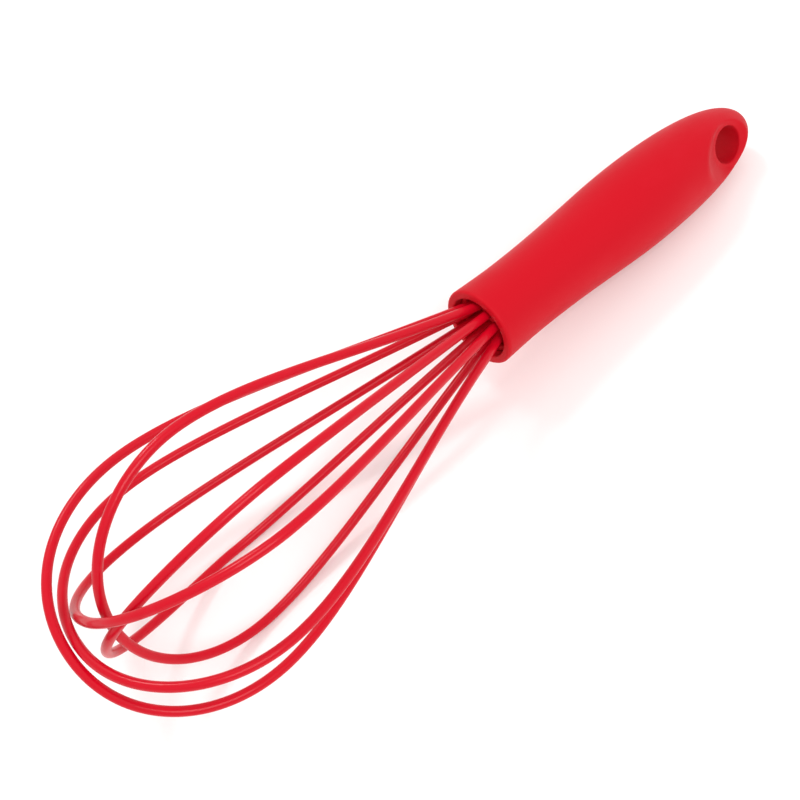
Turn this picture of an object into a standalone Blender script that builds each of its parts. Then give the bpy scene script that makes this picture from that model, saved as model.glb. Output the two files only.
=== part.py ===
"""Balloon whisk with a soft-grip handle, lying on a table.

The whisk is drawn in its own axes, in millimetres: the handle's axis is X, the mouth of the handle is
at X = 0, the wires run towards +X and the hang eye is at the -X end. An angle round the axis is
measured from +Y towards +Z. Every object is a child of one empty that lays the whisk on its side, so
that it rests on two of its wires and on the belly of its handle.
"""

import math

import bmesh
import bpy
from mathutils import Matrix, Vector
from mathutils.geometry import interpolate_bezier

MM = 0.001

# Handle, outside. Each outline point is (x, radius). The two corners are those of the mouth's rim.
TAIL_X = -129.3
RIM_X = 0.5
RIM_RADIUS = 12.9
RIM_CORNER = 0.9
MOUTH_RADIUS = 10.25
MOUTH_CORNER = 0.4
SHOULDER = (-7.0, 12.6)
NECK = (-16.0, 12.4)
BELLY = (-75.0, 14.75)
SWELL_HANDLES = (-42.0, -56.0)
DOME_HANDLE = -100.0
TAIL_HANDLE = 12.0
GRIP_SIDES = 28
DISH_SIDES = 40
SWELL_STEPS = 7
DOME_STEPS = 11

# The eye at the tail: a round hole across the handle, in the flat bottom of a dish on each side.
EYE_X = -113.5
EYE_RADIUS = 6.2
EYE_ANGLE = 62.0
FLAT_HALF = 7.3
DISH_RADIUS = 7.5
DISH_SLOPE = 32.0

# Walls and clearances.
SLEEVE_WALL = 2.0
EYE_WALL = 1.5
GAP = 0.3
HOLE_CLEARANCE = 0.2

# The core, and the wires' seat inside it. The core's front is a little narrower than its neck.
CORE_FRONT = -3.1
CORE_BORE = 8.9
BORE_END = [(-92.0, 0.0), (-90.0, 6.5), (-46.0, CORE_BORE)]
LEDGE_RADIUS = RIM_RADIUS - SLEEVE_WALL - 0.1
HOLDER_FRONT = -7.2
HOLDER_BACK = -15.2
POTTING_BACK = -40.0
SEAT_RADIUS = 6.4
WIRES = 10
SEAT_STEP = 360.0 / WIRES

# The coated wire.
STEEL_RADIUS = 0.6
JACKET_RADIUS = 1.4
JACKET_WALL = 0.5
JACKET_BACK = -15.0
STEEL_BACK = -39.0
BEND_RADIUS = 26.0

# A leg is one Bezier curve from its bend out to its widest point, then one more up to the crown.
# These are the lengths of the first curve's handles, as shares of its length along the axis.
LEG_REACH = 0.43
LEG_SWELL = 0.23
BEND_STEPS = 3
LEG_STEPS = 8
CROWN_STEPS = 11

# Each loop: the crown's tip, the angle that the crown crosses the axis at and how far it leans along
# the axis, then its two legs: (seat number, angle round the axis, angle it leaves the mouth at,
# widest distance from the axis, where that is along the axis, roundness of its half of the crown).
LOOPS = [
    {"tip": (150.15, 1.0, -0.7), "cross": 19, "lean": 0.09,
     "right": (0, 19, 13.5, 38.0, 112.0, 21.0), "left": (5, 202, 16.0, 35.0, 106.5, 21.5)},
    {"tip": (147.1, 1.5, 0.8), "cross": 50, "lean": 0.08,
     "right": (1, 45, 16.0, 40.5, 109.0, 23.0), "left": (6, 232, 16.5, 39.0, 105.0, 23.0)},
    {"tip": (137.5, 0.0, 1.0), "cross": -44, "lean": -0.02,
     "right": (-1, -37, 17.5, 37.5, 100.0, 23.5), "left": (4, 143, 16.5, 37.5, 100.0, 24.0)},
    {"tip": (141.85, -3.5, 0.7), "cross": 80, "lean": -0.04,
     "right": (2, 82, 17.0, 40.5, 97.5, 26.0), "left": (7, 255, 16.5, 40.5, 109.0, 26.0)},
    {"tip": (141.6, 6.1, -5.8), "cross": -73, "lean": -0.11,
     "right": (-2, -74, 14.0, 37.5, 92.0, 26.5), "left": (3, 100, 15.0, 37.5, 91.0, 24.5)},
]

# How the whisk lies: the angle round its axis that faces up, and how far its crown end is raised.
UP_ANGLE = 126.5
CROWN_RAISED = 6.85

RED = (0.68, 0.012, 0.020)
DEEP_RED = (0.45, 0.008, 0.014)
AMBER = (0.55, 0.34, 0.12)
STEEL = (0.62, 0.62, 0.63)


def clear_scene():
    for obj in list(bpy.data.objects):
        bpy.data.objects.remove(obj, do_unlink=True)


def material(name, color, roughness, metallic=0.0):
    made = bpy.data.materials.new(name)
    made.use_nodes = True
    shader = made.node_tree.nodes["Principled BSDF"]
    shader.inputs["Base Color"].default_value = (*color, 1.0)
    shader.inputs["Roughness"].default_value = roughness
    shader.inputs["Metallic"].default_value = metallic
    return made


def radial(angle):
    """The direction away from the axis at this angle round it."""
    turn = math.radians(angle)
    return Vector((0.0, math.cos(turn), math.sin(turn)))


def add_object(name, data, parent, finish=None):
    obj = bpy.data.objects.new(name, data)
    bpy.context.scene.collection.objects.link(obj)
    obj.parent = parent
    if finish:
        data.materials.append(finish)
    return obj


def mesh_object(name, bm, parent, finish=None):
    bmesh.ops.recalc_face_normals(bm, faces=bm.faces)
    mesh = bpy.data.meshes.new(name)
    bm.to_mesh(mesh)
    bm.free()
    mesh.shade_smooth()
    mesh.set_sharp_from_angle(angle=math.radians(35))
    return add_object(name, mesh, parent, finish)


def make_cutter(obj):
    obj.hide_render = True
    obj.display_type = "WIRE"
    return obj


def cut(obj, cutter):
    boolean = obj.modifiers.new("cut " + cutter.name, "BOOLEAN")
    boolean.object = cutter
    boolean.operation = "DIFFERENCE"
    boolean.solver = "EXACT"


def turned(name, outline, parent, sides=GRIP_SIDES, finish=None):
    """Turns an outline of (x, radius) points about the X axis. It starts and ends on the axis."""
    bm = bmesh.new()
    points = [bm.verts.new((x * MM, 0.0, radius * MM)) for x, radius in outline]
    edges = [bm.edges.new(pair) for pair in zip(points, points[1:])]
    bmesh.ops.spin(
        bm, geom=points + edges, cent=(0, 0, 0), axis=(1, 0, 0), angle=math.tau, steps=sides, use_merge=True
    )
    bmesh.ops.remove_doubles(bm, verts=bm.verts, dist=0.001 * MM)
    return mesh_object(name, bm, parent, finish)


def outline_curve(start, handle_a, handle_b, end, steps):
    """Points along a Bezier curve in an outline, as (x, radius) pairs."""
    corners = [Vector((*point, 0.0)) for point in (start, handle_a, handle_b, end)]
    return [(point.x, point.y) for point in interpolate_bezier(*corners, steps + 1)]


def outline_corner(middle, radius, first_turn, last_turn, steps=3):
    """Points along a round corner in an outline. A turn is measured from +X towards larger radii."""
    points = []
    for step in range(steps + 1):
        turn = math.radians(first_turn + (last_turn - first_turn) * step / steps)
        points.append((middle[0] + radius * math.cos(turn), middle[1] + radius * math.sin(turn)))
    return points


def grip_side(inset):
    """The handle's outline from its shoulder to the tail, this far inside the grip's surface."""
    neck = (NECK[0], NECK[1] - inset)
    belly = (BELLY[0], BELLY[1] - inset)
    tail = TAIL_X + inset
    neck_handle = (SWELL_HANDLES[0], neck[1])
    swell = outline_curve(neck, neck_handle, (SWELL_HANDLES[1], belly[1]), belly, SWELL_STEPS)
    belly_handle = (DOME_HANDLE, belly[1])
    dome = outline_curve(belly, belly_handle, (tail, TAIL_HANDLE - inset), (tail, 0.0), DOME_STEPS)
    return swell + dome[1:]


def dish_cutter(name, inset, parent, side):
    """Everything in and above the dish round one end of the eye."""
    depth = 20.0
    wide = DISH_RADIUS + depth / math.tan(math.radians(DISH_SLOPE))
    bm = bmesh.new()
    bmesh.ops.create_cone(
        bm, cap_ends=True, segments=DISH_SIDES, radius1=DISH_RADIUS * MM, radius2=wide * MM, depth=depth * MM
    )
    bmesh.ops.translate(bm, verts=bm.verts, vec=(EYE_X * MM, 0, (FLAT_HALF - inset + depth / 2) * MM))
    turn = math.radians(EYE_ANGLE - 90.0 + side * 180.0)
    bmesh.ops.rotate(bm, verts=bm.verts, matrix=Matrix.Rotation(turn, 3, "X"))
    return make_cutter(mesh_object(name, bm, parent))


def eye_cutter(name, radius, parent):
    bm = bmesh.new()
    bmesh.ops.create_cone(
        bm, cap_ends=True, segments=GRIP_SIDES, radius1=radius * MM, radius2=radius * MM, depth=60 * MM
    )
    bmesh.ops.rotate(bm, verts=bm.verts, matrix=Matrix.Rotation(math.radians(EYE_ANGLE - 90.0), 3, "X"))
    bmesh.ops.translate(bm, verts=bm.verts, vec=(EYE_X * MM, 0, 0))
    return make_cutter(mesh_object(name, bm, parent))


def grip_form(name, front, inset, eye_radius, parent, finish=None):
    """A turned handle shape with its dishes and its eye. front is its outline up to the shoulder."""
    form = turned(name, front + grip_side(inset), parent, finish=finish)
    for side in (0, 1):
        cut(form, dish_cutter(f"{name}_dish_{side}", inset, parent, side))
    cut(form, eye_cutter(f"{name}_eye", eye_radius, parent))
    return form


def build_handle(parent):
    """The soft sleeve with its rim at the mouth, and the hollow core inside it."""
    back = CORE_FRONT - GAP
    mouth_corner = (RIM_X - MOUTH_CORNER, MOUTH_RADIUS + MOUTH_CORNER)
    rim_corner = (RIM_X - RIM_CORNER, RIM_RADIUS - RIM_CORNER)
    front = [(back, 0.0), (back, MOUTH_RADIUS)]
    front += outline_corner(mouth_corner, MOUTH_CORNER, -90, 0)
    front += outline_corner(rim_corner, RIM_CORNER, 0, 90)
    front.append(SHOULDER)
    sleeve = grip_form("grip_sleeve", front, 0.0, EYE_RADIUS, parent, material("soft red", RED, 0.55))

    hollow_front = CORE_FRONT + GAP
    hollow_start = [(hollow_front, 0.0), (hollow_front, LEDGE_RADIUS)]
    hollow = grip_form("sleeve_hollow", hollow_start, SLEEVE_WALL, EYE_RADIUS + EYE_WALL, parent)
    cut(sleeve, make_cutter(hollow))

    inset = SLEEVE_WALL + GAP
    core_start = BORE_END + [(CORE_FRONT, CORE_BORE), (CORE_FRONT, LEDGE_RADIUS - GAP)]
    plastic = material("deep red plastic", DEEP_RED, 0.45)
    grip_form("handle_core", core_start, inset, EYE_RADIUS + EYE_WALL + GAP, parent, plastic)


def drilled_plug(name, front, back, hole_radius, hole_sides, parent, finish):
    """A round plug in the core's bore, with one hole for each wire end."""
    radius = CORE_BORE - GAP
    plug = turned(name, [(back, 0.0), (back, radius), (front, radius), (front, 0.0)], parent, finish=finish)
    bm = bmesh.new()
    length = front - back + 2.0
    for seat in range(WIRES):
        place = radial(seat * SEAT_STEP) * SEAT_RADIUS
        place.x = (front + back) / 2
        turn = Matrix.Rotation(math.radians(90), 4, "Y")
        bmesh.ops.create_cone(
            bm, cap_ends=True, segments=hole_sides, radius1=hole_radius * MM, radius2=hole_radius * MM,
            depth=length * MM, matrix=Matrix.Translation(place * MM) @ turn
        )
    cut(plug, make_cutter(mesh_object(name + "_holes", bm, parent)))


def leg_path(leg, tip, heading):
    """One leg: a bend out of its seat, a long curve out to its widest point, a curve to the crown."""
    seat, angle, leaving, widest, where, roundness = leg
    out = radial(angle)
    along = Vector((1.0, 0.0, 0.0))
    start = along * HOLDER_FRONT + radial(seat * SEAT_STEP) * SEAT_RADIUS
    bend = []
    for step in range(BEND_STEPS):
        turn = math.radians(leaving) * step / BEND_STEPS
        bend.append(start + along * BEND_RADIUS * math.sin(turn) + out * BEND_RADIUS * (1 - math.cos(turn)))
    turn = math.radians(leaving)
    root = start + along * BEND_RADIUS * math.sin(turn) + out * BEND_RADIUS * (1 - math.cos(turn))
    belly = along * where + out * widest
    length = where - root.x
    reach = (along * math.cos(turn) + out * math.sin(turn)) * length * LEG_REACH
    swell = length * LEG_SWELL
    crown_handle = tip + heading * roundness
    # The second curve starts with the curvature that the first one ends with.
    rise = widest - root.dot(out) - reach.dot(out)
    fall = widest - crown_handle.dot(out)
    shoulder = swell * math.sqrt(fall / rise)
    lower = interpolate_bezier(root, root + reach, belly - along * swell, belly, LEG_STEPS + 1)
    upper = interpolate_bezier(belly, belly + along * shoulder, crown_handle, tip, CROWN_STEPS + 1)
    return bend + lower + upper[1:]


def loop_path(loop, back):
    """The whole loop, from one wire end to the other, with straight ends that reach back to here."""
    tip = Vector(loop["tip"])
    heading = radial(loop["cross"])
    heading.x = loop["lean"]
    right = leg_path(loop["right"], tip, heading)
    left = leg_path(loop["left"], tip, -heading)
    points = left + right[::-1][1:]
    first = Vector((back, points[0].y, points[0].z))
    last = Vector((back, points[-1].y, points[-1].z))
    return [first] + points + [last]


def tube(name, points, radius, sides_step, capped, parent, finish):
    curve = bpy.data.curves.new(name, "CURVE")
    curve.dimensions = "3D"
    curve.bevel_depth = radius * MM
    curve.bevel_resolution = sides_step
    curve.use_fill_caps = capped
    spline = curve.splines.new("POLY")
    spline.points.add(len(points) - 1)
    for point, place in zip(spline.points, points):
        point.co = (*(place * MM), 1.0)
    return add_object(name, curve, parent, finish)


def build_loops(parent):
    rubber = material("red silicone", RED, 0.35)
    steel = material("spring steel", STEEL, 0.3, 1.0)
    for number, loop in enumerate(LOOPS, 1):
        tube(f"loop_{number}_steel", loop_path(loop, STEEL_BACK), STEEL_RADIUS, 1, True, parent, steel)
        path = loop_path(loop, JACKET_BACK)
        jacket = tube(f"loop_{number}_jacket", path, JACKET_RADIUS, 2, False, parent, rubber)
        wall = jacket.modifiers.new("wall", "SOLIDIFY")
        wall.thickness = JACKET_WALL * MM
        wall.offset = -1.0
        wall.use_even_offset = True


def lay_down(rig):
    """Turns the whisk so that UP_ANGLE faces up and its crown end is raised, then sets it on Z = 0."""
    up = radial(UP_ANGLE) * math.cos(math.radians(CROWN_RAISED))
    up.x = math.sin(math.radians(CROWN_RAISED))
    along = (Vector((1.0, 0.0, 0.0)) - up * up.x).normalized()
    across = up.cross(along)
    turn = Matrix((along, across, up))
    rig.matrix_world = turn.to_4x4()
    bpy.context.view_layer.update()
    depsgraph = bpy.context.evaluated_depsgraph_get()
    corners = []
    for obj in rig.children:
        if obj.hide_render:
            continue
        seen = obj.evaluated_get(depsgraph)
        mesh = seen.to_mesh()
        corners += [obj.matrix_world @ vertex.co for vertex in mesh.vertices]
        seen.to_mesh_clear()
    low = Vector([min(corner[axis] for corner in corners) for axis in range(3)])
    high = Vector([max(corner[axis] for corner in corners) for axis in range(3)])
    middle = (low + high) / 2
    rig.matrix_world = Matrix.Translation((-middle.x, -middle.y, -low.z)) @ turn.to_4x4()


def main():
    clear_scene()
    rig = add_object("lying_whisk", None, None)
    build_handle(rig)
    red_plastic = material("holder plastic", DEEP_RED, 0.5)
    hole = JACKET_RADIUS + HOLE_CLEARANCE
    drilled_plug("wire_holder", HOLDER_FRONT, HOLDER_BACK, hole, 12, rig, red_plastic)
    resin = material("potting resin", AMBER, 0.3)
    hole = STEEL_RADIUS + GAP
    drilled_plug("wire_potting", HOLDER_BACK - GAP, POTTING_BACK, hole, 8, rig, resin)
    build_loops(rig)
    lay_down(rig)


main()
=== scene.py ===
# %% [markdown]
# # A balloon whisk with a soft grip
#
# This lesson finishes a whisk that lies on a table. Its plain design model is loaded first and gives
# every size and place. Then each piece is modelled again with care: the rubber sleeve of the handle,
# the plastic core inside it, the holder that the wires are pushed into, the resin behind the holder,
# and five wire loops, each one a spring steel wire in a silicone jacket.

# %% Load the design model
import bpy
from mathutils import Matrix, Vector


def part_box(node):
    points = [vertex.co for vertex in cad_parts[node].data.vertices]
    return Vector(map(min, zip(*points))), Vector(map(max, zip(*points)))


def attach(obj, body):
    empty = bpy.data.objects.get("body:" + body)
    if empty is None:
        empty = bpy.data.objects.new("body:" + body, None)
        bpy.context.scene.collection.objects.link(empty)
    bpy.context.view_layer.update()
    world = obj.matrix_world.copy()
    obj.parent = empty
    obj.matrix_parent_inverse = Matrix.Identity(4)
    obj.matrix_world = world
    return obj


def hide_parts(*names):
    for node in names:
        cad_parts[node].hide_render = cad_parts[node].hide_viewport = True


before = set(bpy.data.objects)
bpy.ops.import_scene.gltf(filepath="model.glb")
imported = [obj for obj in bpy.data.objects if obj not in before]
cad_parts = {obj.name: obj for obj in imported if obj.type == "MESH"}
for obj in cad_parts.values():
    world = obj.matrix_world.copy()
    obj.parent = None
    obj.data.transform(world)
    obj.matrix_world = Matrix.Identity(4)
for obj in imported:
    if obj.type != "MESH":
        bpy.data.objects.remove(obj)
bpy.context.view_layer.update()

# %% [markdown]
# ## The whisk's own axes
#
# A whisk is easiest to draw along its own axis. Here X runs along the handle in millimetres, the mouth
# of the handle is at X = 0 and the wires run towards +X. An angle round the axis is measured from +Y
# towards +Z. On the table the whisk is turned and tipped a little, because it rests on two of its
# wires and on the belly of the handle. One matrix does that for every piece, and it is worked out
# from the same two angles as the design model. The holder, which is round and even, tells where the
# turned whisk was put down.

# %% Sizes of the handle and its mouth
import math

import bmesh
import bpy
import numpy as np
from mathutils import Matrix, Quaternion, Vector
from mathutils.geometry import interpolate_bezier

MM = 0.001

TAIL_X = -129.3
RIM_X = 0.5
RIM_RADIUS = 12.9
MOUTH_RADIUS = 10.25
CORE_FRONT = -3.1
CORE_BORE = 8.9
HOLDER_FRONT = -7.2
HOLDER_BACK = -15.2
POTTING_BACK = -40.0
SEAT_RADIUS = 6.4
WIRES = 10
SEAT_STEP = 360.0 / WIRES
GAP = 0.3

UP_ANGLE = 126.5
CROWN_RAISED = 6.85


# %% Lay the whisk on the table
def radial(angle):
    """The direction away from the handle's axis at this angle round it."""
    turn = math.radians(angle)
    return Vector((0.0, math.cos(turn), math.sin(turn)))


up = radial(UP_ANGLE) * math.cos(math.radians(CROWN_RAISED))
up.x = math.sin(math.radians(CROWN_RAISED))
along_table = (Vector((1.0, 0.0, 0.0)) - up * up.x).normalized()
lying = Matrix((along_table, up.cross(along_table), up))
holder_low, holder_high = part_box("wire_holder")
holder_middle = Vector(((HOLDER_FRONT + HOLDER_BACK) / 2, 0.0, 0.0)) * MM
put_down = (holder_low + holder_high) / 2 - lying @ holder_middle
lay = Matrix.Translation(put_down) @ lying.to_4x4() @ Matrix.Scale(MM, 4)
print("mouth of the handle is at", tuple(round(v, 4) for v in put_down))

# %% [markdown]
# ## Finishes
#
# Every material gets its detail from nodes. Three effects are wanted in more than one material, so
# each is made once as a node group with its own values to set:
#
# - **fine grain** is the matt texture of a moulded surface: tiny bumps, and broad soft patches where
#   the surface is a little glossier or a little lighter;
# - **handling marks** are the long faint smears that soft rubber soon gets;
# - **drawn lines** run along a wire or a jacket that was pulled through a die.
#
# The patterns are placed with the object's own coordinates. A Mapping node turns them back into the
# whisk's axes, so that a pattern can run along the handle although the whisk lies askew.


# %% Helpers for nodes
def new_group(name, inputs, outputs):
    """An empty shader node group. inputs are (name, kind, value); outputs are (name, kind)."""
    group = bpy.data.node_groups.new(name, "ShaderNodeTree")
    for label, kind, value in inputs:
        socket = group.interface.new_socket(name=label, in_out="INPUT", socket_type=kind)
        if value is not None:
            socket.default_value = value
    for label, kind in outputs:
        group.interface.new_socket(name=label, in_out="OUTPUT", socket_type=kind)
    return group, group.nodes.new("NodeGroupInput"), group.nodes.new("NodeGroupOutput")


def add(tree, kind, values=None, **settings):
    """Adds a node, gives its settings and fills its inputs. A socket as a value makes a link."""
    node = tree.nodes.new(kind)
    for name, value in settings.items():
        setattr(node, name, value)
    for name, value in (values or {}).items():
        if isinstance(value, bpy.types.NodeSocket):
            tree.links.new(value, node.inputs[name])
        else:
            node.inputs[name].default_value = value
    return node


def spread(tree, value, low, high, new_low=0.0, new_high=1.0):
    """Stretches the part of a value between low and high to a new range, with soft ends."""
    ends = {"From Min": low, "From Max": high, "To Min": new_low, "To Max": new_high, "Value": value}
    return add(tree, "ShaderNodeMapRange", ends, interpolation_type="SMOOTHSTEP").outputs["Result"]


def mix_colours(tree, share, first, second):
    """Mixes two colours by a share of the second one."""
    node = add(tree, "ShaderNodeMix", data_type="RGBA")
    for index, value in ((0, share), (6, first), (7, second)):
        if isinstance(value, bpy.types.NodeSocket):
            tree.links.new(value, node.inputs[index])
        else:
            node.inputs[index].default_value = value
    return node.outputs[2]


FLOAT, VECTOR = "NodeSocketFloat", "NodeSocketVector"


# %% Fine grain
def fine_grain_group():
    """Tiny bumps as a height, and a broad mask of where the surface is smoother."""
    group, taken, given = new_group(
        "fine grain",
        [("Place", VECTOR, None), ("Grains per metre", FLOAT, 2500.0), ("Patches per metre", FLOAT, 45.0)],
        [("Height", FLOAT), ("Patches", FLOAT)],
    )
    place = taken.outputs["Place"]
    small = {"Vector": place, "Scale": taken.outputs["Grains per metre"], "Detail": 3.0, "Roughness": 0.6}
    broad = {"Vector": place, "Scale": taken.outputs["Patches per metre"], "Detail": 4.0, "Roughness": 0.55}
    grain = add(group, "ShaderNodeTexNoise", small)
    patches = add(group, "ShaderNodeTexNoise", broad)
    group.links.new(grain.outputs[0], given.inputs["Height"])
    group.links.new(spread(group, patches.outputs[0], 0.35, 0.65), given.inputs["Patches"])
    return group


fine_grain = fine_grain_group()
print("made the node group", fine_grain.name)


# %% Handling marks
def handling_marks_group():
    """A mask of rubbed and dusty smears, drawn out along the whisk."""
    group, taken, given = new_group(
        "handling marks",
        [("Place", VECTOR, None), ("Smears per metre", FLOAT, 60.0)],
        [("Smears", FLOAT)],
    )
    pulled = add(group, "ShaderNodeMapping", {"Vector": taken.outputs["Place"], "Scale": (0.35, 1.0, 1.0)})
    smear_noise = add(group, "ShaderNodeTexNoise", {
        "Vector": pulled.outputs[0], "Scale": taken.outputs["Smears per metre"],
        "Detail": 5.0, "Roughness": 0.6, "Distortion": 0.6,
    })
    group.links.new(spread(group, smear_noise.outputs[0], 0.52, 0.78), given.inputs["Smears"])
    return group


handling_marks = handling_marks_group()
print("made the node group", handling_marks.name)


# %% Drawn lines
def drawn_lines_group():
    """Fine lines that follow a wire, from its own map: U goes round it and V goes along it."""
    group, taken, given = new_group(
        "drawn lines",
        [("Map", VECTOR, None), ("Lines round", FLOAT, 40.0), ("Lines along", FLOAT, 0.15)],
        [("Height", FLOAT), ("Gloss", FLOAT)],
    )
    scale = add(group, "ShaderNodeCombineXYZ", {
        "X": taken.outputs["Lines round"], "Y": taken.outputs["Lines along"], "Z": 1.0,
    })
    stretched = add(group, "ShaderNodeVectorMath", operation="MULTIPLY")
    group.links.new(taken.outputs["Map"], stretched.inputs[0])
    group.links.new(scale.outputs[0], stretched.inputs[1])
    lines = add(group, "ShaderNodeTexNoise", {"Vector": stretched.outputs[0], "Scale": 1.0, "Detail": 2.0})
    group.links.new(lines.outputs[0], given.inputs["Height"])
    group.links.new(spread(group, lines.outputs[0], 0.35, 0.7), given.inputs["Gloss"])
    return group


drawn_lines = drawn_lines_group()
print("made the node group", drawn_lines.name)

# %% [markdown]
# ### Colours
#
# The rubber and the silicone are the same strong red. A red this deep gives back almost no green or
# blue of its own: what little there is comes from the gloss of the surface, so both are kept from
# shining much. The rubber is nearly matt and has a soft pale bloom where it is seen edge-on, which the
# sheen gives. The silicone has a thin clear skin, so a thin line of light runs along each wire.

# %% Colours of the pieces
SMEAR_SHARE = 0.55
LINE_SHARE = 0.6
GRIP_RED = (0.53, 0.001, 0.010, 1.0)
GRIP_RUBBED = (0.56, 0.005, 0.017, 1.0)
JACKET_RED = (0.55, 0.001, 0.013, 1.0)
JACKET_DUSTY = (0.57, 0.004, 0.018, 1.0)
CORE_RED = (0.60, 0.003, 0.012, 1.0)
CORE_PALE = (0.64, 0.008, 0.020, 1.0)
RESIN_AMBER = (0.50, 0.27, 0.07, 1.0)
RESIN_DARK = (0.33, 0.15, 0.035, 1.0)
STEEL_GREY = (0.60, 0.60, 0.61, 1.0)
STEEL_DARK = (0.42, 0.42, 0.44, 1.0)


def new_material(name, **shader_values):
    """A material with its Principled shader's plain values set, and the whisk's axes as coordinates."""
    made = bpy.data.materials.new(name)
    made.use_nodes = True
    tree = made.node_tree
    shader = tree.nodes["Principled BSDF"]
    for label, value in shader_values.items():
        shader.inputs[label.replace("_", " ")].default_value = value
    own = add(tree, "ShaderNodeTexCoord")
    axes = add(tree, "ShaderNodeMapping", {
        "Vector": own.outputs["Object"], "Location": put_down, "Rotation": lying.to_euler(),
    }, vector_type="TEXTURE")
    return made, tree, shader, axes.outputs[0]


def place_group(tree, group, **values):
    """Places a node group in a material and gives it its own values."""
    node = add(tree, "ShaderNodeGroup", node_tree=group)
    for label, value in values.items():
        socket = node.inputs[label.replace("_", " ")]
        if isinstance(value, bpy.types.NodeSocket):
            tree.links.new(value, socket)
        else:
            socket.default_value = value
    return node


def raise_surface(tree, shader, height, depth, strength=1.0):
    """Feeds a height to the shader's normal. depth is the height of the bumps in metres."""
    bump = add(tree, "ShaderNodeBump", {"Height": height, "Distance": depth, "Strength": strength})
    tree.links.new(bump.outputs[0], shader.inputs["Normal"])


# %% The grip's soft rubber
def soft_grip_material():
    """Nearly matt red rubber with a fine grain, faint rubbed patches and a pale bloom at its edges."""
    made, tree, shader, place = new_material(
        "soft grip rubber", Specular_IOR_Level=0.14, Sheen_Weight=0.03, Sheen_Roughness=0.35
    )
    shader.inputs["Sheen Tint"].default_value = (1.0, 0.72, 0.78, 1.0)
    grain = place_group(tree, fine_grain, Place=place, Grains_per_metre=2600.0, Patches_per_metre=38.0)
    marks = place_group(tree, handling_marks, Place=place)
    rubbed = add(tree, "ShaderNodeMath", operation="MULTIPLY")
    tree.links.new(marks.outputs["Smears"], rubbed.inputs[0])
    rubbed.inputs[1].default_value = SMEAR_SHARE
    colour = mix_colours(tree, rubbed.outputs[0], GRIP_RED, GRIP_RUBBED)
    tree.links.new(colour, shader.inputs["Base Color"])
    tree.links.new(spread(tree, grain.outputs["Patches"], 0.0, 1.0, 0.50, 0.58), shader.inputs["Roughness"])
    raise_surface(tree, shader, grain.outputs["Height"], 0.00004, 0.6)
    return made


grip_rubber = soft_grip_material()
print("made the material", grip_rubber.name)


# %% The wires' silicone
def silicone_material():
    """Satin red silicone with faint lines along the wire, a little dust and a thin clear skin."""
    made, tree, shader, place = new_material(
        "red silicone", Specular_IOR_Level=0.12, Coat_Weight=0.18, Coat_Roughness=0.1
    )
    wire_map = add(tree, "ShaderNodeUVMap", uv_map="along_wire").outputs[0]
    lines = place_group(tree, drawn_lines, Map=wire_map, Lines_round=26.0, Lines_along=0.12)
    grain = place_group(tree, fine_grain, Place=place, Grains_per_metre=4200.0, Patches_per_metre=90.0)
    marks = place_group(tree, handling_marks, Place=place, Smears_per_metre=140.0)
    colour = mix_colours(tree, marks.outputs["Smears"], JACKET_RED, JACKET_DUSTY)
    tree.links.new(colour, shader.inputs["Base Color"])
    tree.links.new(spread(tree, grain.outputs["Patches"], 0.0, 1.0, 0.30, 0.38), shader.inputs["Roughness"])
    height = add(tree, "ShaderNodeMath", operation="MULTIPLY_ADD")
    tree.links.new(lines.outputs["Height"], height.inputs[0])
    height.inputs[1].default_value = LINE_SHARE
    tree.links.new(grain.outputs["Height"], height.inputs[2])
    raise_surface(tree, shader, height.outputs[0], 0.00002, 0.5)
    return made


silicone = silicone_material()
print("made the material", silicone.name)


# %% Plastic, resin and steel
def moulded_plastic_material(name, dark, pale, gloss):
    """Hard red plastic with a slight grain and broad flow patches. gloss is its lowest roughness."""
    made, tree, shader, place = new_material(name, Specular_IOR_Level=0.2)
    grain = place_group(tree, fine_grain, Place=place, Grains_per_metre=1800.0, Patches_per_metre=120.0)
    tree.links.new(mix_colours(tree, grain.outputs["Patches"], dark, pale), shader.inputs["Base Color"])
    rough = spread(tree, grain.outputs["Patches"], 0.0, 1.0, gloss, gloss + 0.1)
    tree.links.new(rough, shader.inputs["Roughness"])
    raise_surface(tree, shader, grain.outputs["Height"], 0.00003, 0.4)
    return made


def steel_material():
    """Bright drawn spring steel, with fine lines along the wire."""
    made, tree, shader, _ = new_material("drawn spring steel", Metallic=1.0)
    wire_map = add(tree, "ShaderNodeUVMap", uv_map="along_wire").outputs[0]
    lines = place_group(tree, drawn_lines, Map=wire_map, Lines_round=60.0, Lines_along=0.08)
    gloss = lines.outputs["Gloss"]
    tree.links.new(mix_colours(tree, gloss, STEEL_DARK, STEEL_GREY), shader.inputs["Base Color"])
    tree.links.new(spread(tree, gloss, 0.0, 1.0, 0.34, 0.2), shader.inputs["Roughness"])
    raise_surface(tree, shader, lines.outputs["Height"], 0.00001, 0.5)
    return made


core_plastic = moulded_plastic_material("core plastic", CORE_RED, CORE_PALE, 0.38)
holder_plastic = moulded_plastic_material("holder plastic", CORE_RED, CORE_PALE, 0.42)
potting_resin = moulded_plastic_material("potting resin", RESIN_DARK, RESIN_AMBER, 0.15)
spring_steel = steel_material()
print("made", [m.name for m in (core_plastic, holder_plastic, potting_resin, spring_steel)])

# %% [markdown]
# ## Finishing a piece
#
# Each piece is drawn in millimetres along the whisk's axis. When its shape is done, its double points
# are merged, its faces are turned outwards, and the whole mesh is laid on the table by the matrix from
# above. The object itself stays at the origin. Then the piece takes its finish, it is hung under the
# whisk's root, and the nodes of the design model that it stands for are hidden.


# %% Turn a shape into a finished piece
WELD = 0.01
SHARP = math.radians(50)


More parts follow.
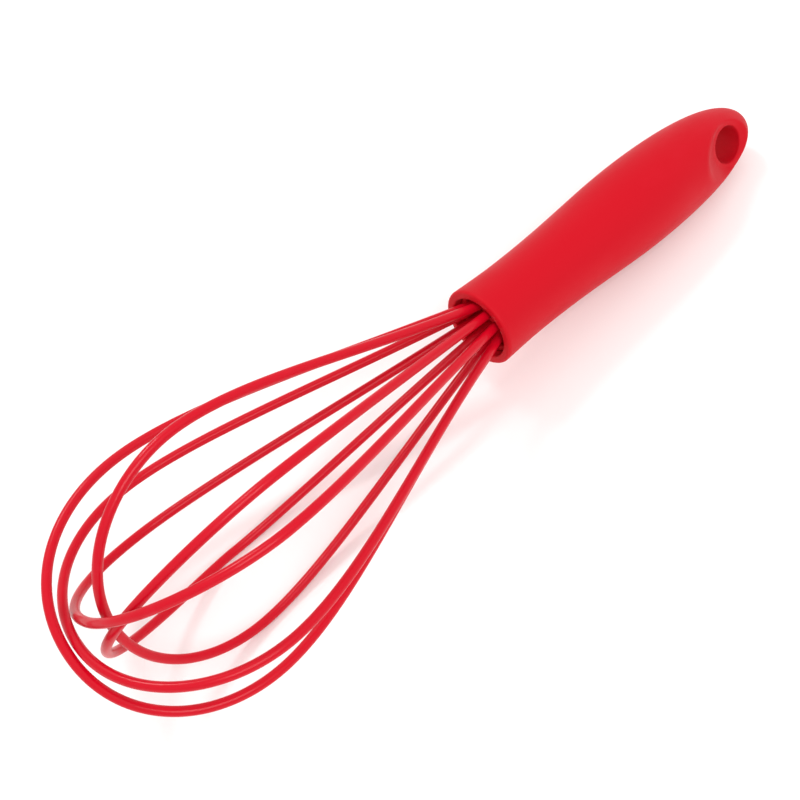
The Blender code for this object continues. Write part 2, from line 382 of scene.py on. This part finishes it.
def finish_piece(bm, name, finish, nodes, sharp=SHARP):
    """Merges doubles, faces the shape outwards, lays it down and makes it a piece of the whisk."""
    bmesh.ops.remove_doubles(bm, verts=bm.verts, dist=WELD)
    bmesh.ops.recalc_face_normals(bm, faces=bm.faces)
    bmesh.ops.transform(bm, matrix=lay, verts=bm.verts)
    mesh = bpy.data.meshes.new(name)
    bm.to_mesh(mesh)
    bm.free()
    mesh.shade_smooth()
    mesh.set_sharp_from_angle(angle=sharp)
    mesh.materials.append(finish)
    piece = bpy.data.objects.new(name, mesh)
    bpy.context.scene.collection.objects.link(piece)
    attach(piece, "root")
    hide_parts(*nodes)
    print(name, "has", len(mesh.polygons), "faces and stands for", nodes)
    return piece


# %% [markdown]
# ## The outline of the handle
#
# The handle is a turned shape: a narrow neck behind the mouth, a belly for the palm and a blunt round
# tail. Two Bezier curves give that outline. The sleeve's inside and the core follow the same outline,
# only a few millimetres further in, so one function draws them all.

# %% The outline from shoulder to tail
NECK = (-16.0, 12.4)
BELLY = (-75.0, 14.75)
SHOULDER_HANDLES = ((-3.5, 12.75), (-11.0, 12.4))
SWELL_HANDLES = (-42.0, -56.0)
DOME_HANDLES = (-100.0, 12.0)


def bezier(start, handle_a, handle_b, end, steps):
    """Points along one Bezier curve, as (x, radius) pairs."""
    corners = [Vector((*corner, 0.0)) for corner in (start, handle_a, handle_b, end)]
    return [(point.x, point.y) for point in interpolate_bezier(*corners, steps + 1)]


def grip_side(inset, swell_steps=70, dome_steps=120):
    """The handle's outline from its neck to its tail, this far inside the grip's surface."""
    neck = (NECK[0], NECK[1] - inset)
    belly = (BELLY[0], BELLY[1] - inset)
    tail = TAIL_X + inset
    swell = bezier(neck, (SWELL_HANDLES[0], neck[1]), (SWELL_HANDLES[1], belly[1]), belly, swell_steps)
    dome_end = (tail, DOME_HANDLES[1] - inset)
    dome = bezier(belly, (DOME_HANDLES[0], belly[1]), dome_end, (tail, 0.0), dome_steps)
    return swell + dome[1:]


print("outline points from neck to tail:", len(grip_side(0.0)))

# %% [markdown]
# ## The dishes and the eye
#
# Near the tail, a shallow dish is pressed into the handle on two sides, and a round eye for a hook goes
# through the flat bottoms of both. On the moulded rubber none of these has a sharp edge, so the dishes
# aren't cut: each point of the turned skin that stands above a dish is pressed down to it, and a
# smooth minimum rounds the place where the two surfaces meet.

# %% Press the two dishes
EYE_X = -113.5
EYE_RADIUS = 6.2
EYE_ANGLE = 62.0
FLAT_HALF = 7.3
DISH_RADIUS = 7.5
DISH_SLOPE = math.radians(32.0)
FOOT_BLEND = 0.9
EDGE_BLEND = 0.8
through = radial(EYE_ANGLE)
beside = radial(EYE_ANGLE + 90.0)


def smooth_min(a, b, blend):
    """The smaller of two heights, rounded off where they are nearly the same."""
    closeness = max(blend - abs(a - b), 0.0) / blend
    return min(a, b) - closeness * closeness * blend / 4


def dish_height(x, sideways, inset):
    """How far from the axis the dish lies, at a place along the handle and to the side of the eye."""
    rise = (math.hypot(x - EYE_X, sideways) - DISH_RADIUS) * math.tan(DISH_SLOPE)
    return FLAT_HALF - inset - smooth_min(0.0, -rise, FOOT_BLEND)


def press_dishes(verts, inset):
    """Moves points that stand above a dish down to it, on both sides of the handle."""
    for vert in verts:
        height = vert.co.dot(through)
        dish = dish_height(vert.co.x, vert.co.dot(beside), inset)
        pressed = smooth_min(abs(height), dish, EDGE_BLEND)
        vert.co += through * (math.copysign(pressed, height) - height)


# %% [markdown]
# The eye is opened in the skin itself. The faces inside a circle are deleted, and the ragged edge that
# is left is drawn onto a true circle. That circle is extruded inwards in a few steps, each a little
# narrower and deeper, which makes the rounded rim. When both sides have their rim, the two rings are
# bridged and the bore has its wall.

# %% Open the eye
RIM_STEPS = 6
RIM_MARGIN = 0.7
BORE_CUTS = 7


def skin_height(x, sideways, side, inset):
    """The height of the pressed skin above the plane through the axis, at a place near the eye."""
    ahead = [point for point in side if point[0] < BELLY[0]]
    radius = np.interp(-x, [-point[0] for point in ahead], [point[1] for point in ahead])
    turned = math.sqrt(max(radius * radius - sideways * sideways, 0.0))
    return smooth_min(turned, dish_height(x, sideways, inset), EDGE_BLEND)


def move_ring(ring, radius, drop, facing, side, inset):
    """Puts the ring's points on a circle round the eye, this far below the skin."""
    for vert in ring:
        turn = math.atan2(vert.co.dot(beside), vert.co.x - EYE_X)
        x = EYE_X + radius * math.cos(turn)
        sideways = radius * math.sin(turn)
        height = skin_height(x, sideways, side, inset) - drop
        vert.co = Vector((x, 0.0, 0.0)) + beside * sideways + through * height * facing


def ordered_rim(edges):
    """The points of one closed edge loop, in order."""
    links = {}
    for edge in edges:
        for vert in edge.verts:
            links.setdefault(vert, []).append(edge.other_vert(vert))
    first = next(iter(links))
    rim = [first]
    while len(rim) < len(links):
        step = [vert for vert in links[rim[-1]] if vert not in rim[-2:]]
        rim.append(step[0])
    return rim


def even_out(rim, radius):
    """Spreads the rim's points evenly round the eye, keeping their order."""
    turns = [math.atan2(vert.co.dot(beside), vert.co.x - EYE_X) for vert in rim]
    whole = sum(math.remainder(b - a, math.tau) for a, b in zip(turns, turns[1:] + turns[:1]))
    step = math.copysign(math.tau / len(rim), whole)
    strays = [math.remainder(turn - turns[0] - step * i, math.tau) for i, turn in enumerate(turns)]
    shift = sum(strays) / len(rim)
    for i, vert in enumerate(rim):
        turn = turns[0] + shift + step * i
        vert.co = Vector((EYE_X + radius * math.cos(turn), 0.0, 0.0)) + beside * radius * math.sin(turn)


def open_eye(bm, skin, radius, rounding, side, inset):
    """Opens the eye through both dishes of one skin, rounds its rims and walls its bore."""
    ends = []
    for facing in (1.0, -1.0):
        inside = []
        for face in skin:
            middle = face.calc_center_median()
            reach = math.hypot(middle.x - EYE_X, middle.dot(beside))
            if reach < radius + rounding + RIM_MARGIN and middle.dot(through) * facing > 0:
                inside.append(face)
        rim_edges = {edge for face in inside for edge in face.edges}
        bmesh.ops.delete(bm, geom=inside, context="FACES")
        rim_edges = [edge for edge in rim_edges if edge.is_valid and edge.is_boundary]
        rim = ordered_rim(rim_edges)
        even_out(rim, radius + rounding)
        move_ring(rim, radius + rounding, 0.0, facing, side, inset)
        for step in range(1, RIM_STEPS + 1 if rounding else 1):
            turn = math.pi / 2 * step / RIM_STEPS
            grown = bmesh.ops.extrude_edge_only(bm, edges=rim_edges)["geom"]
            ring = [item for item in grown if isinstance(item, bmesh.types.BMVert)]
            rim_edges = [item for item in grown if isinstance(item, bmesh.types.BMEdge)]
            rim_edges = [edge for edge in rim_edges if edge.is_boundary]
            drop = rounding * (1 - math.cos(turn))
            move_ring(ring, radius + rounding * (1 - math.sin(turn)), drop, facing, side, inset)
        ends += rim_edges
        skin = [face for face in skin if face.is_valid]
    bore = bmesh.ops.bridge_loops(bm, edges=ends)
    walls = {edge for face in bore["faces"] for edge in face.edges} - set(ends)
    bmesh.ops.subdivide_edges(bm, edges=list(walls), cuts=BORE_CUTS, use_grid_fill=True)
    print("eye opened with", len(rim), "points round its rim")


# %% [markdown]
# ## Turning a hollow handle
#
# Spin turns an outline into a closed skin. The sleeve has an outer and an inner skin that meet at the
# rim of the mouth, and the core has an outer skin and a bore. Both outlines run from the tail, along
# the inside to the mouth, over the front edge and back along the outside to the tail. A whole number
# that is kept on each point tells the skins apart after the spin.

# %% Turn an outline
GRIP_SIDES = 144
INNER, EDGE, OUTER = 1, 2, 3


def turned(stretches):
    """Turns an outline about the axis. Each stretch is a skin number and its (x, radius) points."""
    bm = bmesh.new()
    skin_layer = bm.verts.layers.int.new("skin")
    points = []
    for skin, outline in stretches:
        for x, radius in outline:
            vert = bm.verts.new((x, 0.0, radius))
            vert[skin_layer] = skin
            points.append(vert)
    edges = [bm.edges.new(pair) for pair in zip(points, points[1:])]
    bmesh.ops.spin(
        bm, geom=points + edges, cent=(0, 0, 0), axis=(1, 0, 0), angle=math.tau,
        steps=GRIP_SIDES, use_merge=True,
    )
    bmesh.ops.remove_doubles(bm, verts=bm.verts, dist=WELD)
    return bm, skin_layer


def skin_verts(bm, layer, skin):
    return [vert for vert in bm.verts if vert[layer] == skin]


def skin_faces(bm, layer, skin):
    return [face for face in bm.faces if all(vert[layer] == skin for vert in face.verts)]


def round_corner(middle, radius, first_turn, last_turn, steps):
    """A round corner of an outline. A turn is measured from +X towards larger radii."""
    points = []
    for step in range(steps + 1):
        turn = math.radians(first_turn + (last_turn - first_turn) * step / steps)
        points.append((middle[0] + radius * math.cos(turn), middle[1] + radius * math.sin(turn)))
    return points


def rounded(corner, before, after, size, steps=5):
    """A corner of an outline rounded off: a curve from just before it to just after it."""
    corner = Vector(corner)
    start = corner + (Vector(before) - corner).normalized() * size
    end = corner + (Vector(after) - corner).normalized() * size
    return bezier(start, (start + corner) / 2, (end + corner) / 2, end, steps)


# %% [markdown]
# ## The soft grip
#
# The sleeve is two millimetres of soft rubber over the hard core. Its front is a flat rim with a round
# corner outside and a tighter one at the mouth, and just inside the mouth a small ledge hides the front
# of the core. Round the eye the rubber lines the bore, and the core stays clear of it.

# %% The sleeve
SLEEVE_WALL = 2.0
EYE_WALL = 1.5
EYE_ROUNDING = 0.6
RIM_CORNER = 0.9
MOUTH_CORNER = 0.4
LEDGE_X = CORE_FRONT + GAP
LEDGE_STEP = 0.1
LEDGE_RADIUS = RIM_RADIUS - SLEEVE_WALL - LEDGE_STEP


def build_sleeve():
    """The rubber sleeve: a rim at the mouth, an outer and an inner skin, and the lined eye."""
    outer_side = grip_side(0.0)
    inner_side = grip_side(SLEEVE_WALL, swell_steps=24, dome_steps=70)
    rim_middle = (RIM_X - RIM_CORNER, RIM_RADIUS - RIM_CORNER)
    mouth_middle = (RIM_X - MOUTH_CORNER, MOUTH_RADIUS + MOUTH_CORNER)
    rim = round_corner(mouth_middle, MOUTH_CORNER, -90, 0, 6)
    rim += round_corner(rim_middle, RIM_CORNER, 0, 90, 8)
    shoulder = bezier(rim[-1], *SHOULDER_HANDLES, NECK, 18)
    bm, layer = turned([
        (INNER, inner_side[::-1]),
        (EDGE, [(LEDGE_X, LEDGE_RADIUS), (LEDGE_X, MOUTH_RADIUS)]),
        (OUTER, rim + shoulder[1:-1] + outer_side),
    ])
    press_dishes(skin_verts(bm, layer, OUTER), 0.0)
    press_dishes(skin_verts(bm, layer, INNER), SLEEVE_WALL)
    open_eye(bm, skin_faces(bm, layer, OUTER), EYE_RADIUS, EYE_ROUNDING, outer_side, 0.0)
    open_eye(bm, skin_faces(bm, layer, INNER), EYE_RADIUS + EYE_WALL, 0.0, inner_side, SLEEVE_WALL)
    return finish_piece(bm, "soft_grip_sleeve", grip_rubber, ["grip_sleeve"])


build_sleeve()

# %% [markdown]
# ## The core
#
# The hard plastic core carries the load. Only its front ring and its bore show, deep in the mouth,
# but it is modelled whole: its outside lies a gap inside the sleeve, and its bore tapers to the back
# as a moulding does, so that it comes off its pin.

# %% The core
BORE_END = (-92.0, 0.0)
BORE_BOTTOM = (-90.0, 6.5)
BORE_WIDENS = (-46.0, CORE_BORE)
CORE_EDGE = 0.45


def build_core():
    """The plastic core: its outside, its rounded front edge and its tapered bore."""
    inset = SLEEVE_WALL + GAP
    side = grip_side(inset, swell_steps=24, dome_steps=80)
    front_inside = (CORE_FRONT, CORE_BORE)
    front_outside = (CORE_FRONT, LEDGE_RADIUS - GAP)
    bore = [BORE_END, BORE_BOTTOM, BORE_WIDENS, (HOLDER_FRONT - GAP, CORE_BORE)]
    edge_in = rounded(front_inside, BORE_WIDENS, front_outside, CORE_EDGE)
    edge_out = rounded(front_outside, front_inside, side[0], CORE_EDGE)
    bm, layer = turned([(INNER, bore + edge_in + edge_out), (OUTER, side)])
    press_dishes(skin_verts(bm, layer, OUTER), inset)
    open_eye(bm, skin_faces(bm, layer, OUTER), EYE_RADIUS + EYE_WALL + GAP, 0.0, side, inset)
    return finish_piece(bm, "handle_core_tube", core_plastic, ["handle_core"])


build_core()

# %% [markdown]
# ## The holder and the resin
#
# The ten wire ends are pushed into a round plastic holder, and resin is poured in behind it to lock
# them. Both are drilled plugs. A drilled plug can be drawn flat: a big circle with ten small ones in
# it, filled between them and extruded. The rims are bevelled afterwards, as a countersunk hole is.

# %% Drilled plugs
JACKET_RADIUS = 1.4
HOLE_CLEARANCE = 0.2
STEEL_RADIUS = 0.6
PLUG_SIDES = 96
HOLE_SIDES = 24


def circle_edges(bm, middle, radius, sides):
    """A circle of edges across the axis."""
    turn = Matrix.Rotation(math.radians(90), 4, "Y")
    made = bmesh.ops.create_circle(
        bm, cap_ends=False, segments=sides, radius=radius, matrix=Matrix.Translation(middle) @ turn
    )
    return list({edge for vert in made["verts"] for edge in vert.link_edges})


def build_plug(name, front, back, hole_radius, edge_size, finish, node):
    """A round plug with a hole for each wire end, its rims bevelled."""
    bm = bmesh.new()
    edges = circle_edges(bm, Vector((back, 0.0, 0.0)), CORE_BORE - GAP, PLUG_SIDES)
    for seat in range(WIRES):
        middle = radial(seat * SEAT_STEP) * SEAT_RADIUS
        middle.x = back
        edges += circle_edges(bm, middle, hole_radius, HOLE_SIDES)
    bmesh.ops.triangle_fill(bm, use_beauty=True, use_dissolve=False, edges=edges, normal=(1, 0, 0))
    grown = bmesh.ops.extrude_face_region(bm, geom=bm.faces[:])["geom"]
    moved = [item for item in grown if isinstance(item, bmesh.types.BMVert)]
    bmesh.ops.translate(bm, verts=moved, vec=(front - back, 0.0, 0.0))
    bmesh.ops.recalc_face_normals(bm, faces=bm.faces)
    rims = []
    for edge in bm.edges:
        start, end = edge.verts
        if abs(start.co.x - end.co.x) < WELD and edge.calc_face_angle(0.0) > SHARP:
            rims.append(edge)
    bmesh.ops.bevel(
        bm, geom=rims, offset=edge_size, offset_type="OFFSET", segments=3, profile=0.5,
        affect="EDGES", material=-1, clamp_overlap=True,
    )
    return finish_piece(bm, name, finish, [node])


build_plug(
    "ten_wire_holder", HOLDER_FRONT, HOLDER_BACK, JACKET_RADIUS + HOLE_CLEARANCE, 0.25,
    holder_plastic, "wire_holder",
)
build_plug(
    "resin_potting", HOLDER_BACK - GAP, POTTING_BACK, STEEL_RADIUS + GAP, 0.1,
    potting_resin, "wire_potting",
)

# %% [markdown]
# ## The five loops
#
# Each loop is one wire that leaves a seat in the holder, bends outwards at once, swells out to its
# widest point and comes back to the crown, where it crosses the others. Its second leg goes down the
# other side in the same way. No two loops of a used whisk are alike, so each leg has its own angles
# and widths. A leg is a short circular bend and two Bezier curves: the handles at the widest point
# are chosen so that the bend of the wire doesn't jump there.

# %% The five loops, leg by leg
# Each leg: (seat number, angle round the axis, angle it leaves the mouth at, widest distance from the
# axis, where that is along the axis, roundness of its half of the crown).
LOOPS = [
    {"tip": (150.15, 1.0, -0.7), "cross": 19, "lean": 0.09,
     "right": (0, 19, 13.5, 38.0, 112.0, 21.0), "left": (5, 202, 16.0, 35.0, 106.5, 21.5)},
    {"tip": (147.1, 1.5, 0.8), "cross": 50, "lean": 0.08,
     "right": (1, 45, 16.0, 40.5, 109.0, 23.0), "left": (6, 232, 16.5, 39.0, 105.0, 23.0)},
    {"tip": (137.5, 0.0, 1.0), "cross": -44, "lean": -0.02,
     "right": (-1, -37, 17.5, 37.5, 100.0, 23.5), "left": (4, 143, 16.5, 37.5, 100.0, 24.0)},
    {"tip": (141.85, -3.5, 0.7), "cross": 80, "lean": -0.04,
     "right": (2, 82, 17.0, 40.5, 97.5, 26.0), "left": (7, 255, 16.5, 40.5, 109.0, 26.0)},
    {"tip": (141.6, 6.1, -5.8), "cross": -73, "lean": -0.11,
     "right": (-2, -74, 14.0, 37.5, 92.0, 26.5), "left": (3, 100, 15.0, 37.5, 91.0, 24.5)},
]
BEND_RADIUS = 26.0
LEG_REACH = 0.43
LEG_SWELL = 0.23
BEND_STEPS = 6
LEG_STEPS = 56
CROWN_STEPS = 50
JACKET_BACK = -15.0
STEEL_BACK = -39.0


def leg_path(leg, tip, heading):
    """One leg: a bend out of its seat, a long curve out to its widest point, a curve to the crown."""
    seat, angle, leaving, widest, where, roundness = leg
    out = radial(angle)
    along = Vector((1.0, 0.0, 0.0))
    start = along * HOLDER_FRONT + radial(seat * SEAT_STEP) * SEAT_RADIUS
    bend = []
    for step in range(BEND_STEPS + 1):
        turn = math.radians(leaving) * step / BEND_STEPS
        bend.append(start + along * BEND_RADIUS * math.sin(turn) + out * BEND_RADIUS * (1 - math.cos(turn)))
    root = bend.pop()
    belly = along * where + out * widest
    length = where - root.x
    reach = (along * math.cos(turn) + out * math.sin(turn)) * length * LEG_REACH
    swell = length * LEG_SWELL
    crown_handle = tip + heading * roundness
    rise = widest - root.dot(out) - reach.dot(out)
    fall = widest - crown_handle.dot(out)
    shoulder = swell * math.sqrt(fall / rise)
    lower = interpolate_bezier(root, root + reach, belly - along * swell, belly, LEG_STEPS + 1)
    upper = interpolate_bezier(belly, belly + along * shoulder, crown_handle, tip, CROWN_STEPS + 1)
    return bend + lower + upper[1:]


def loop_path(loop, back):
    """The whole loop, from one wire end to the other, with straight ends that reach back to here."""
    tip = Vector(loop["tip"])
    heading = radial(loop["cross"])
    heading.x = loop["lean"]
    right = leg_path(loop["right"], tip, heading)
    left = leg_path(loop["left"], tip, -heading)
    points = left + right[::-1][1:]
    first = Vector((back, points[0].y, points[0].z))
    last = Vector((back, points[-1].y, points[-1].z))
    return [first] + points + [last]


# %% [markdown]
# ### Drawing a wire along its path
#
# A ring of points is set across the start of the path. Its edges are extruded, and the new ring is
# moved to the next point of the path and turned by as much as the path turns there. So the wire never
# twists. Each point keeps its number round the wire, and the finished faces get a map from it: U goes
# round and V goes along, in turns of the wire's own girth, so that a pattern on it isn't stretched.


# %% Draw a wire
def directions(path):
    """The direction of the path at each of its points."""
    ahead = [(b - a).normalized() for a, b in zip(path, path[1:])]
    inner = [(a + b).normalized() for a, b in zip(ahead, ahead[1:])]
    return [ahead[0]] + inner + [ahead[-1]]


def map_wire(bm, path, radius, sides, side_layer, ring_layer):
    """Gives the wire's faces a map: U round the wire, V along it."""
    lengths = [0.0]
    for a, b in zip(path, path[1:]):
        lengths.append(lengths[-1] + (b - a).length)
    uv_layer = bm.loops.layers.uv.new("along_wire")
    for face in bm.faces:
        numbers = [vert[side_layer] for vert in face.verts]
        seam = max(numbers) - min(numbers) > sides // 2
        for corner in face.loops:
            number = corner.vert[side_layer]
            if seam and number == 0:
                number = sides
            length = lengths[corner.vert[ring_layer]]
            corner[uv_layer].uv = (number / sides, length / (math.tau * radius))
    return lengths[-1]


def build_wire(path, radius, sides, capped):
    """A round wire of this radius along the path, as a bmesh, and its length."""
    bm = bmesh.new()
    side_layer = bm.verts.layers.int.new("side")
    ring_layer = bm.verts.layers.int.new("ring")
    heading = directions(path)
    stand = heading[0].to_track_quat("Z", "Y").to_matrix().to_4x4()
    made = bmesh.ops.create_circle(
        bm, cap_ends=False, segments=sides, radius=radius, matrix=Matrix.Translation(path[0]) @ stand
    )
    for number, vert in enumerate(made["verts"]):
        vert[side_layer] = number
    edges = bm.edges[:]
    starting = edges
    for step in range(1, len(path)):
        grown = bmesh.ops.extrude_edge_only(bm, edges=edges)["geom"]
        ring = [item for item in grown if isinstance(item, bmesh.types.BMVert)]
        edges = [item for item in grown if isinstance(item, bmesh.types.BMEdge) and item.is_boundary]
        turn = heading[step - 1].rotation_difference(heading[step]).to_matrix()
        bmesh.ops.rotate(bm, verts=ring, cent=path[step - 1], matrix=turn)
        bmesh.ops.translate(bm, verts=ring, vec=path[step] - path[step - 1])
        for vert in ring:
            vert[ring_layer] = step
    length = map_wire(bm, path, radius, sides, side_layer, ring_layer)
    if capped:
        for ends in (starting, edges):
            bmesh.ops.edgeloop_fill(bm, edges=ends)
    return bm, length


# %% The steel wires and their jackets
JACKET_SIDES = 20
STEEL_SIDES = 12
JACKET_WALL = 0.5

for number, loop in enumerate(LOOPS, 1):
    bm, _ = build_wire(loop_path(loop, STEEL_BACK), STEEL_RADIUS, STEEL_SIDES, True)
    finish_piece(bm, f"spring_wire_{number}", spring_steel, [f"loop_{number}_steel"])
    bm, length = build_wire(loop_path(loop, JACKET_BACK), JACKET_RADIUS, JACKET_SIDES, False)
    jacket = finish_piece(bm, f"silicone_jacket_{number}", silicone, [f"loop_{number}_jacket"])
    wall = jacket.modifiers.new("wall", "SOLIDIFY")
    wall.thickness = JACKET_WALL * MM
    wall.offset = -1.0
    wall.use_even_offset = True
    print("jacket", number, "is", round(length), "mm long")

# %% [markdown]
# ## The table, the light and the camera
#
# The whisk lies on a plain white table. A window light stands high on the far side, so that each wire
# gets a thin line of light and the shadows fall softly towards the viewer. A wider light on the near
# side brightens the flank of the handle. The room itself is nearly white, and fills the shadows.

# %% The table
TABLE_SIZE = 6.0
TABLE_DROP = 0.0001


def build_table():
    """A plain white table top just under the whisk."""
    bm = bmesh.new()
    bmesh.ops.create_grid(bm, x_segments=1, y_segments=1, size=TABLE_SIZE / 2)
    bmesh.ops.translate(bm, verts=bm.verts, vec=(0.0, 0.0, -TABLE_DROP))
    mesh = bpy.data.meshes.new("table_top")
    bm.to_mesh(mesh)
    bm.free()
    white = bpy.data.materials.new("white table")
    white.use_nodes = True
    shader = white.node_tree.nodes["Principled BSDF"]
    shader.inputs["Base Color"].default_value = (0.95, 0.95, 0.935, 1.0)
    shader.inputs["Roughness"].default_value = 0.7
    shader.inputs["Specular IOR Level"].default_value = 0.2
    mesh.materials.append(white)
    table = bpy.data.objects.new("table_top", mesh)
    bpy.context.scene.collection.objects.link(table)


build_table()


# %% The light
def soft_light(name, place, size, power):
    """A large square light that shines at the middle of the whisk."""
    lamp = bpy.data.lights.new(name, "AREA")
    lamp.size = size
    lamp.energy = power
    light = bpy.data.objects.new(name, lamp)
    light.location = place
    light.rotation_euler = Vector(place).to_track_quat("Z", "Y").to_euler()
    bpy.context.scene.collection.objects.link(light)


soft_light("window_light", (0.0, -0.75, 1.05), 0.3, 4.4)
soft_light("room_light", (0.15, 0.7, 1.0), 0.6, 5.6)

room = bpy.data.worlds.new("white room")
room.use_nodes = True
background = room.node_tree.nodes["Background"]
background.inputs["Color"].default_value = (1.0, 0.94, 0.945, 1.0)
background.inputs["Strength"].default_value = 0.92
bpy.context.scene.world = room
bpy.context.scene.view_settings.view_transform = "Standard"
print("lights and room are set")

# %% The camera
AIM = Vector((24.43, 1.5, 30.1)) * MM
DISTANCE = 365.76 * MM
LENS = 57.52
AZIMUTH, ELEVATION, LEAN = (math.radians(angle) for angle in (55.34, 55.97, 12.54))

camera = bpy.data.objects.new("camera", bpy.data.cameras.new("camera"))
camera.data.lens = LENS
camera.data.sensor_width = 36.0
camera.data.clip_start = 0.01
back = Vector((
    math.cos(ELEVATION) * math.cos(AZIMUTH), math.cos(ELEVATION) * math.sin(AZIMUTH), math.sin(ELEVATION)
))
camera.location = AIM + back * DISTANCE
camera.rotation_mode = "QUATERNION"
camera.rotation_quaternion = back.to_track_quat("Z", "Y") @ Quaternion((0.0, 0.0, 1.0), -LEAN)
bpy.context.scene.collection.objects.link(camera)
bpy.context.scene.camera = camera
print("camera at", tuple(round(v, 4) for v in camera.location))
